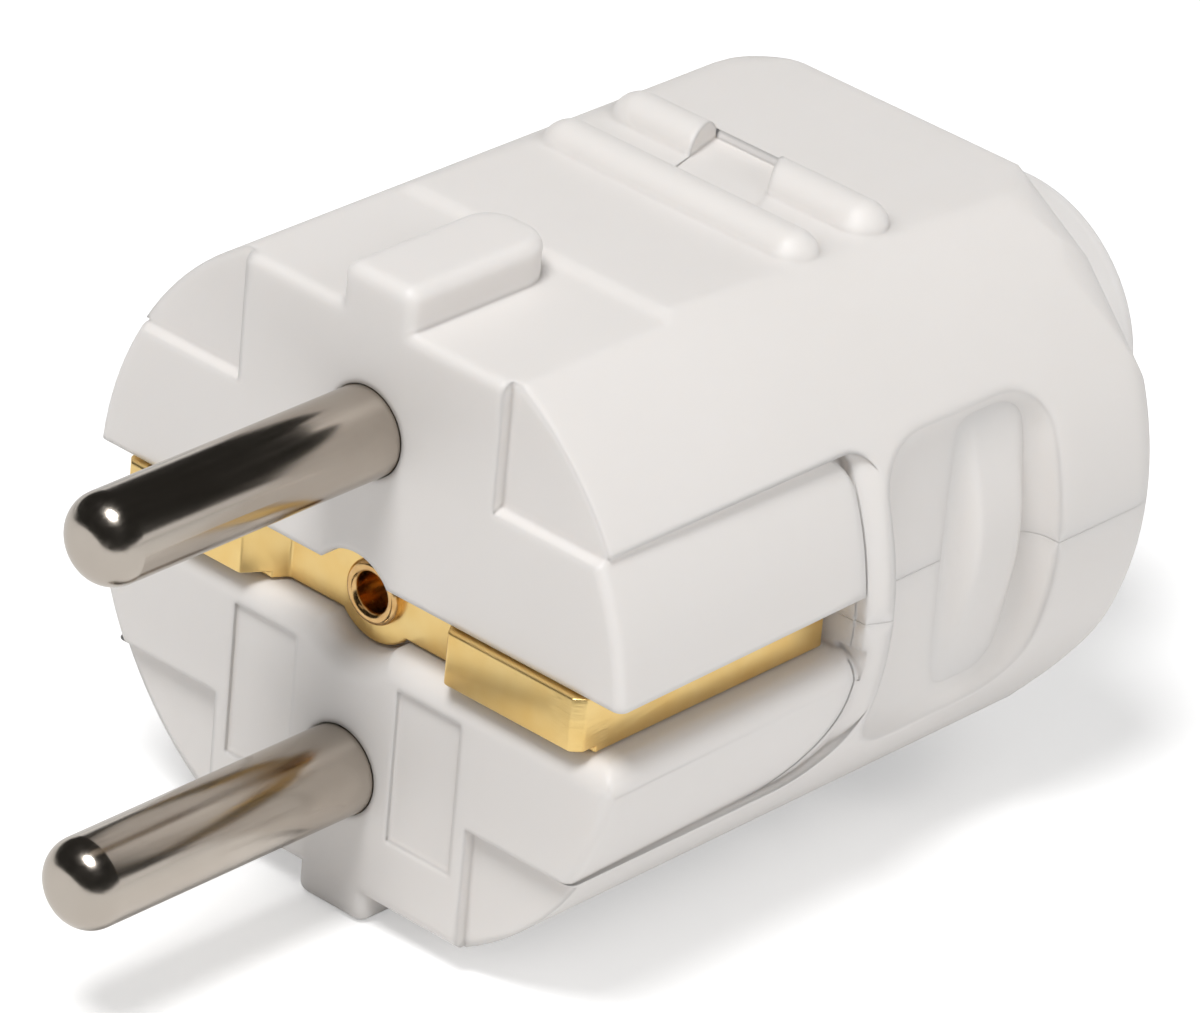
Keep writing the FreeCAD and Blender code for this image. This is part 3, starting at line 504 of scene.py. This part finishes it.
class Finish(Enum):
    """The finishes of the plug, each after the real material and how it was made."""

    # Glossy moulded ABS: a faintly warm white with soft edges and a broad, mild highlight.
    # The widest rounding is at the finger scoops, between the grip flats and the round sides,
    # and at the guide recesses.
    SHELL = MouldedPlastic(
        name="glossy_moulded_abs_warm_white",
        colour="#E6E2DF",
        cooled="#E1DDD9",
        roughness=0.42,
        edge_mm=0.5,
        soft=(
            SoftEdge(FINGER_SCOOPS, 1.1),
            SoftEdge(GRIP_FLAT_SIDES, 1.8),
            SoftEdge(GUIDE_RECESSES, 0.85),
        ),
    )
    # The same moulding on the soft webs, which have no edge of their own to round.
    WEB = MouldedPlastic(
        name="glossy_moulded_abs_web",
        colour="#E6E2DF",
        cooled="#E1DDD9",
        roughness=0.42,
        edge_mm=0.02,
    )
    # The sleeve is a second moulding of ABS, in a slightly cleaner and glossier white.
    SLEEVE = MouldedPlastic(
        name="glossy_moulded_abs_white",
        colour="#E8E5E3",
        cooled="#E3E0DD",
        roughness=0.34,
        edge_mm=0.3,
    )
    # Glass-filled polyamide of the carrier: matt and greyer.
    CARRIER = MouldedPlastic(
        name="moulded_polyamide_light_grey",
        colour="#C9C7C2",
        cooled="#BEBCB6",
        roughness=0.5,
        edge_mm=0.15,
    )
    # Polyamide of the cord clamp: matt off-white.
    CLAMP = MouldedPlastic(
        name="moulded_polyamide_off_white",
        colour="#D9D7D1",
        cooled="#CFCDC6",
        roughness=0.45,
        edge_mm=0.15,
    )
    # Bright nickel on drawn brass: mirror-like, with drawing streaks along the pin.
    PIN = WorkedMetal(
        name="bright_nickel_plate",
        bright="#C4BCB2",
        deep="#B8AEA3",
        stained="#BDB4AA",
        roughness=0.2,
        along=Along.PIN,
        streak_mm=0.35,
        cloud_mm=4.0,
        spread=0.05,
    )
    # Rolled brass sheet, bright dipped: light gold, browner along its sheared edges, and
    # rougher where the outside of the corner bends was stretched.
    STRIP = WorkedMetal(
        name="bright_rolled_brass_sheet",
        bright="#FADF9E",
        deep="#EFC677",
        stained="#B06A26",
        roughness=0.33,
        along=Along.SHEET,
        streak_mm=0.3,
        streak=0.005,
        bend_streak=0.9,
        cloud_mm=2.2,
        spread=0.015,
        edge_mm=0.14,
    )
    # Formed brass tube of the eyelet: its lip was rolled over and browned.
    EYELET = WorkedMetal(
        name="formed_brass_tube",
        bright="#EDCB94",
        deep="#C4924F",
        stained="#9C6530",
        roughness=0.2,
        cloud_mm=0.8,
    )
    # Machined brass of the earth terminal: a plain yellow with turning streaks.
    TERMINAL = WorkedMetal(
        name="machined_brass",
        bright="#DDB469",
        deep="#C99B50",
        stained="#B98840",
        roughness=0.28,
        along=Along.TURNED,
    )
    # Zinc-plated steel of the screws and nuts: bluish grey and slightly cloudy.
    SCREW = WorkedMetal(
        name="zinc_plated_steel",
        bright="#BDBFC0",
        deep="#A9ABAE",
        stained="#B4B6B8",
        roughness=0.3,
        cloud_mm=1.5,
    )


@dataclass
class Stock:
    """Makes each material once and hands it out."""

    made: dict[Finish, bpy.types.Material] = field(default_factory=dict)

    def get(self, finish: Finish) -> bpy.types.Material:
        """Return the material of a finish, made at its first use.

        Args:
            finish: The finish that is wanted.

        Returns:
            Its material.
        """
        if finish not in self.made:
            self.made[finish] = finish.value.material()
        return self.made[finish]


@dataclass
class Assembly:
    """A sub-assembly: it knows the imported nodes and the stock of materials."""

    nodes: dict[str, bpy.types.Object]
    stock: Stock

    def build(self) -> None:
        """Make no piece; an assembly with finer pieces of its own makes them here."""

    def dress(self) -> None:
        """Dress no node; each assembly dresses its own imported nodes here."""

    def dress_node(self, node: str, finish: Finish) -> None:
        """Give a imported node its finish.

        Args:
            node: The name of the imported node.
            finish: The finish that it gets.
        """
        item = self.nodes[node]
        for index in range(len(item.material_slots)):
            item.material_slots[index].material = self.stock.get(finish)
        if not item.material_slots:
            item.data.materials.append(self.stock.get(finish))
        log.info("%s dressed as %s", node, finish.name)

    def add_piece(
        self, name: str, mesh: bmesh.types.BMesh, finish: Finish, slot: str, *nodes: str
    ) -> bpy.types.Object:
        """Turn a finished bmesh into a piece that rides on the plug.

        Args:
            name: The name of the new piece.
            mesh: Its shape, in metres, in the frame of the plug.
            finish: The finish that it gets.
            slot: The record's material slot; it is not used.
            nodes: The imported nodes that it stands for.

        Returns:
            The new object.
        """
        bmesh.ops.remove_doubles(mesh, verts=mesh.verts, dist=SAME_POINT)
        bmesh.ops.recalc_face_normals(mesh, faces=mesh.faces)
        data = bpy.data.meshes.new(name)
        mesh.to_mesh(data)
        mesh.free()
        data.shade_smooth()
        item = bpy.data.objects.new(name, data)
        bpy.context.scene.collection.objects.link(item)
        item.data.materials.append(self.stock.get(finish))
        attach(item, BODY)
        if nodes:
            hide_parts(*nodes)
        log.info("%s made with %d faces", name, len(data.polygons))
        return item


@dataclass
class Housing(Assembly):
    """The two moulded shells, the webs over their fins and the cable sleeve.

    Sizes are in millimetres. A flank gives where it starts and ends, counted along the plug
    from the middle of the web.
    """

    scoop_floor: float = 15.5
    web_low: float = 15.1
    web_sink: float = 0.005
    web_height: float = 1.46
    web_middle: tuple[float, float] = (29.0, 0.6)
    web_half: float = 8.2
    front_flank: tuple[float, float] = (-2.8, -1.15)
    rear_flank: tuple[float, float] = (1.15, 3.6)
    web_squares: tuple[int, int] = (40, 56)

    def build(self) -> None:
        """Make the web of each finger scoop."""
        for name, side in (("right_fin_web", 1.0), ("left_fin_web", -1.0)):
            self.build_web(name, side)

    def build_web(self, name: str, side: float) -> None:
        """Lay a soft web over the fin of a finger scoop: steep in front, long behind.

        Args:
            name: The name of the new piece.
            side: One for the right side and minus one for the left side.
        """
        mesh = bmesh.new()
        along_squares, up_squares = self.web_squares
        bmesh.ops.create_grid(mesh, x_segments=along_squares, y_segments=up_squares, size=1.0)
        raised = bmesh.ops.extrude_face_region(mesh, geom=mesh.faces[:])["geom"]
        tops = {item for item in raised if isinstance(item, bmesh.types.BMVert)}
        start, end = self.front_flank[0], self.rear_flank[1]
        for vert in mesh.verts:
            along = start + (end - start) * (vert.co.x + 1.0) / 2.0
            up = self.web_half * vert.co.y
            reach = self.web_low
            if vert in tops:
                arch = (1.0 - (up / self.web_half) ** 2) ** 2
                width = smooth(*self.front_flank, along) - smooth(*self.rear_flank, along)
                reach = self.scoop_floor - self.web_sink + self.web_height * arch * width
            place = (side * reach, self.web_middle[0] + along, self.web_middle[1] + up)
            vert.co = metres(place)
        self.add_piece(name, mesh, Finish.WEB, "shell")

    def dress(self) -> None:
        """Give the mouldings their finishes."""
        for node in ("upper_shell", "lower_shell"):
            self.dress_node(node, Finish.SHELL)
        self.dress_node("cable_sleeve", Finish.SLEEVE)


@dataclass
class Contacts(Assembly):
    """The pins, the earth strip and its eyelet. Sizes are in millimetres and degrees."""

    flat_turn: float = 0.5
    sheared_turn: float = 40.0
    sheared_edge: float = 0.12
    sheared_steps: int = 3
    sheet_level: float = 1.8
    head_radius: float = 1.75
    bore_radius: float = 1.05
    lip_rise: float = 0.2
    lip_roll: float = 0.35
    lip_steps: int = 12
    bore_end: float = 6.2
    end_depth: float = 0.3
    spin_steps: int = 64

    def build(self) -> None:
        """Make the strip and the eyelet again, with their fine roundings."""
        self.build_strip()
        self.build_eyelet()

    def build_strip(self) -> None:
        """Copy the bent strip, clear its flat faces and round its sheared edges."""
        mesh = bmesh.new()
        mesh.from_mesh(self.nodes["earth_strip"].data)
        bmesh.ops.remove_doubles(mesh, verts=mesh.verts, dist=SAME_POINT)
        bmesh.ops.dissolve_limit(
            mesh,
            angle_limit=math.radians(self.flat_turn),
            verts=mesh.verts,
            edges=mesh.edges,
        )
        item = self.add_piece("earth_contact_strip", mesh, Finish.STRIP, "strip", "earth_strip")
        rounding = item.modifiers.new("sheared_edges", "BEVEL")
        rounding.width = self.sheared_edge * MM
        rounding.segments = self.sheared_steps
        rounding.limit_method = "ANGLE"
        rounding.angle_limit = math.radians(self.sheared_turn)
        rounding.harden_normals = True

    def build_eyelet(self) -> None:
        """Spin the eyelet: a rolled lip, a tube and a closed end."""
        mesh = bmesh.new()
        middle = (self.head_radius + self.bore_radius) / 2
        half = (self.head_radius - self.bore_radius) / 2
        lip_level = self.sheet_level - self.lip_rise
        profile = [(self.head_radius, self.sheet_level)]
        for step in range(self.lip_steps + 1):
            angle = math.pi * step / self.lip_steps
            across = middle + half * math.cos(angle)
            profile.append((across, lip_level - self.lip_roll * math.sin(angle)))
        profile.append((self.bore_radius, self.bore_end))
        profile.append((0.0, self.bore_end + self.end_depth))
        points = [mesh.verts.new(metres((x, y, 0.0))) for x, y in profile]
        for first, second in zip(points, points[1:]):
            mesh.edges.new((first, second))
        bmesh.ops.spin(
            mesh,
            geom=mesh.verts[:] + mesh.edges[:],
            cent=(0, 0, 0),
            axis=(0, 1, 0),
            angle=math.tau,
            steps=self.spin_steps,
            use_merge=True,
        )
        self.add_piece("earth_rivet", mesh, Finish.EYELET, "eyelet", "earth_eyelet")

    def dress(self) -> None:
        """Give the pins their plate."""
        for node in ("upper_pin", "lower_pin"):
            self.dress_node(node, Finish.PIN)


@dataclass
class Inside(Assembly):
    """The pieces that hold the conductors and the cord, and the fasteners."""

    def dress(self) -> None:
        """Give the inner pieces their finishes."""
        self.dress_node("terminal_carrier", Finish.CARRIER)
        self.dress_node("clamp_bar", Finish.CLAMP)
        self.dress_node("earth_terminal", Finish.TERMINAL)
        for node in (
            "upper_terminal_screw",
            "lower_terminal_screw",
            "earth_terminal_screw",
            "clamp_screws",
            "housing_screws",
            "housing_nuts",
        ):
            self.dress_node(node, Finish.SCREW)


@dataclass(frozen=True)
class SoftBox:
    """A round soft box that looks at the plug, in metres and watts."""

    name: str
    spot: tuple[float, float, float]
    size: float
    power: float
    mirrored: bool

    def hang(self) -> None:
        """Hang the lamp. Metal mirrors it only where that is wanted."""
        data = bpy.data.lights.new(self.name, "AREA")
        data.shape = "DISK"
        data.size = self.size
        data.energy = self.power
        item = bpy.data.objects.new(self.name, data)
        item.location = self.spot
        item.rotation_euler = Vector(self.spot).to_track_quat("Z", "Y").to_euler()
        item.visible_camera = False
        item.visible_glossy = self.mirrored
        bpy.context.scene.collection.objects.link(item)


@dataclass
class Studio:
    """The floor, the backdrop, the lamps and the camera of the picture.

    The camera was fitted to the pins and the face. Its focal length and the width of the
    frame are in pixels, its sensor, shifts and distance in millimetres and its turns in
    degrees. The sizes of the floor and the canopy are in metres.
    """

    focal_px: float = 9277.21937
    frame_px: float = 1200.0
    sensor_mm: float = 36.0
    nearest: float = 0.01
    turn: float = 40.6237695
    tilt: float = 28.2886897
    roll: float = 5.34447137
    shift_right: float = 12.180819
    shift_up: float = 4.65735773
    distance: float = 454.838084
    fill: float = 0.32
    floor_half: float = 3.0
    floor_squares: int = 8
    grain_mm: float = 2.0
    paper_tone: tuple[float, float] = (0.88, 0.9)
    paper_lift: float = 0.35
    canopy_radius: float = 0.95
    canopy_segments: int = 96
    canopy_rings: int = 48
    canopy_level: float = 0.075
    canopy_slope: float = 0.18
    carpet_start: float = 0.14
    carpet_lift: float = 0.0005
    # Felt fibres are far too fine to show in a mirror image, so the tone varies this coarsely.
    felt_mm: float = 30.0
    boxes: tuple[SoftBox, ...] = (
        SoftBox("key_box", (0.05, -0.28, 0.69), 0.30, 4.2, True),
        SoftBox("right_box", (0.62, 0.05, 0.28), 0.50, 1.0, False),
    )

    def camera(self) -> None:
        """Place the camera at the photograph's angle."""
        turn, tilt, roll = (math.radians(a) for a in (self.turn, self.tilt, self.roll))
        back = Vector(
            (
                math.sin(turn) * math.cos(tilt),
                -math.cos(turn) * math.cos(tilt),
                math.sin(tilt),
            )
        )
        right = Vector((math.cos(turn), math.sin(turn), 0))
        up = back.cross(right)
        across = math.cos(roll) * right + math.sin(roll) * up
        upward = -math.sin(roll) * right + math.cos(roll) * up
        spot = self.distance * back + self.shift_right * across + self.shift_up * upward
        data = bpy.data.cameras.new("camera")
        data.sensor_width = self.sensor_mm
        data.lens = self.focal_px * self.sensor_mm / self.frame_px
        data.clip_start = self.nearest
        item = bpy.data.objects.new("camera", data)
        rotation = Matrix((across, upward, back)).transposed()
        item.matrix_world = Matrix.Translation(spot * MM) @ rotation.to_4x4()
        bpy.context.scene.collection.objects.link(item)
        bpy.context.scene.camera = item

    def stage_piece(
        self, name: str, mesh: bmesh.types.BMesh, material: bpy.types.Material
    ) -> bpy.types.Object:
        """Turn a bmesh into a piece of the stage.

        Args:
            name: The name of the piece.
            mesh: Its shape in metres.
            material: The material that it gets.

        Returns:
            The new object.
        """
        data = bpy.data.meshes.new(name)
        mesh.to_mesh(data)
        mesh.free()
        data.materials.append(material)
        item = bpy.data.objects.new(name, data)
        bpy.context.scene.collection.objects.link(item)
        item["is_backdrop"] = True
        log.info("%s staged", name)
        return item

    def floor(self, level: float) -> None:
        """Lay a pale paper floor under the plug, lifted to near white for the camera.

        Args:
            level: The height of the floor in metres.
        """
        mesh = bmesh.new()
        bmesh.ops.create_grid(
            mesh,
            x_segments=self.floor_squares,
            y_segments=self.floor_squares,
            size=self.floor_half,
        )
        bmesh.ops.translate(mesh, verts=mesh.verts, vec=(0, 0, level))
        material = new_material("pale_paper")
        grain = add_node(
            material,
            "ShaderNodeTexNoise",
            {"Scale": per_mm(self.grain_mm), "Detail": 2.0},
            {"Vector": add_node(material, "ShaderNodeTexCoord").outputs["Object"]},
        )
        tone = add_node(
            material,
            "ShaderNodeMapRange",
            {"To Min": self.paper_tone[0], "To Max": self.paper_tone[1]},
            {"Value": grain.outputs["Fac"]},
        )
        paper = add_node(material, "ShaderNodeBsdfDiffuse", {}, {"Color": tone.outputs["Result"]})
        lift = add_node(
            material,
            "ShaderNodeMath",
            {"operation": "MULTIPLY", 1: self.paper_lift},
            {0: add_node(material, "ShaderNodeLightPath").outputs["Is Camera Ray"]},
        )
        glow = add_node(
            material,
            "ShaderNodeEmission",
            {"Color": linear(WHITE)},
            {"Strength": lift.outputs["Value"]},
        )
        both = add_node(
            material,
            "ShaderNodeAddShader",
            {},
            {0: paper.outputs["BSDF"], 1: glow.outputs["Emission"]},
        )
        add_node(
            material, "ShaderNodeOutputMaterial", {}, {"Surface": both.outputs["Shader"]}
        )
        self.stage_piece("floor", mesh, material)

    def world(self) -> None:
        """Make a white backdrop that lights the plug only softly."""
        world = bpy.data.worlds.new("white_backdrop")
        world.use_nodes = True
        world.node_tree.nodes.clear()
        path = add_node(world, "ShaderNodeLightPath").outputs
        first = add_node(
            world,
            "ShaderNodeMath",
            {"operation": "MAXIMUM"},
            {0: path["Is Camera Ray"], 1: path["Is Glossy Ray"]},
        )
        second = add_node(
            world,
            "ShaderNodeMath",
            {"operation": "MAXIMUM"},
            {0: first.outputs["Value"], 1: path["Is Transmission Ray"]},
        )
        level = add_node(
            world,
            "ShaderNodeMapRange",
            {"To Min": self.fill, "To Max": 1.0},
            {"Value": second.outputs["Value"]},
        )
        white = add_node(
            world,
            "ShaderNodeBackground",
            {"Color": linear(WHITE)},
            {"Strength": level.outputs["Result"]},
        )
        add_node(
            world, "ShaderNodeOutputWorld", {}, {"Surface": white.outputs["Background"]}
        )
        bpy.context.scene.world = world

    def canopy(self, level: float) -> None:
        """Hang the dark room over the stage. Only metal and gloss mirror it.

        It is a dome whose rim slants: in front it reaches the floor and goes on there as a
        dark carpet, behind the plug it ends a little above the horizon.

        Args:
            level: The height of the floor in metres.
        """
        mesh = bmesh.new()
        bmesh.ops.create_uvsphere(
            mesh,
            u_segments=self.canopy_segments,
            v_segments=self.canopy_rings,
            radius=self.canopy_radius,
        )
        bmesh.ops.bisect_plane(
            mesh,
            geom=mesh.verts[:] + mesh.edges[:] + mesh.faces[:],
            plane_co=(0, 0, self.canopy_level),
            plane_no=(0, self.canopy_slope, -1),
            clear_outer=True,
        )
        bmesh.ops.reverse_faces(mesh, faces=mesh.faces)
        half = self.canopy_radius / 2
        carpet = bmesh.ops.create_grid(mesh, x_segments=1, y_segments=1, size=half)["verts"]
        bmesh.ops.scale(mesh, verts=carpet, vec=(2, 1, 1))
        bmesh.ops.translate(
            mesh, verts=carpet, vec=(0, -half - self.carpet_start, level + self.carpet_lift)
        )
        material = new_material("black_felt")
        fibre = add_node(
            material,
            "ShaderNodeTexNoise",
            {"Scale": per_mm(self.felt_mm), "Detail": 2.0},
            {"Vector": add_node(material, "ShaderNodeTexCoord").outputs["Object"]},
        )
        felt = add_node(
            material,
            "ShaderNodeMix",
            {"data_type": "RGBA", 6: linear("#474643"), 7: linear("#2B2A29")},
            {"Factor": fibre.outputs["Fac"]},
        )
        cloth = add_node(material, "ShaderNodeBsdfDiffuse", {}, {"Color": felt.outputs[2]})
        add_node(
            material, "ShaderNodeOutputMaterial", {}, {"Surface": cloth.outputs["BSDF"]}
        )
        item = self.stage_piece("dark_canopy", mesh, material)
        item.visible_camera = False
        item.visible_diffuse = False
        item.visible_shadow = False
        item.visible_transmission = False

    def build(self, level: float) -> None:
        """Set up the whole studio.

        Args:
            level: The height of the floor in metres.
        """
        self.camera()
        self.floor(level)
        self.world()
        self.canopy(level)
        for box in self.boxes:
            box.hang()
        bpy.context.scene.view_settings.view_transform = "Standard"


def main() -> None:
    """Load the frame, build and dress the plug, and light it on a floor at its lowest point."""
    logging.basicConfig(level=logging.INFO, format="%(name)s %(message)s")
    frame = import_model()
    cad_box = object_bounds()
    stock = Stock()
    for kind in (Housing, Contacts, Inside):
        assembly = kind(frame["nodes"], stock)
        assembly.build()
        assembly.dress()
    Studio().build(float(cad_box[0][2]))


if __name__ == "__main__":
    main()
